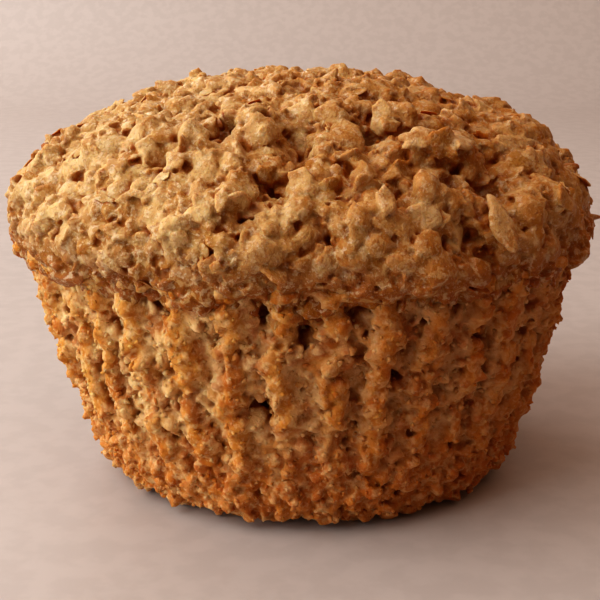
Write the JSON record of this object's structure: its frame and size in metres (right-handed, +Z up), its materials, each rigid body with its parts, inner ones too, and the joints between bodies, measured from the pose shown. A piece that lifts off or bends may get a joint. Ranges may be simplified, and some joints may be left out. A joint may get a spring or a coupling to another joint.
{
  "type": "oat muffin",
  "caption": "Baked oat muffin out of its paper case: a pleat-printed tapered side on a flat foot, under a domed craggy crown with a small lip.",
  "frame": {"origin": "on the table under the middle of the muffin", "axes": "+Z up through the crown, the front that the source view shows faces -Y"},
  "size_m": [0.0752, 0.0752, 0.0504],
  "materials": {
    "baked_crumb": "matte"
  },
  "bodies": {
    "root": {"muffin": "baked_crumb"}
  },
  "joints": []
}
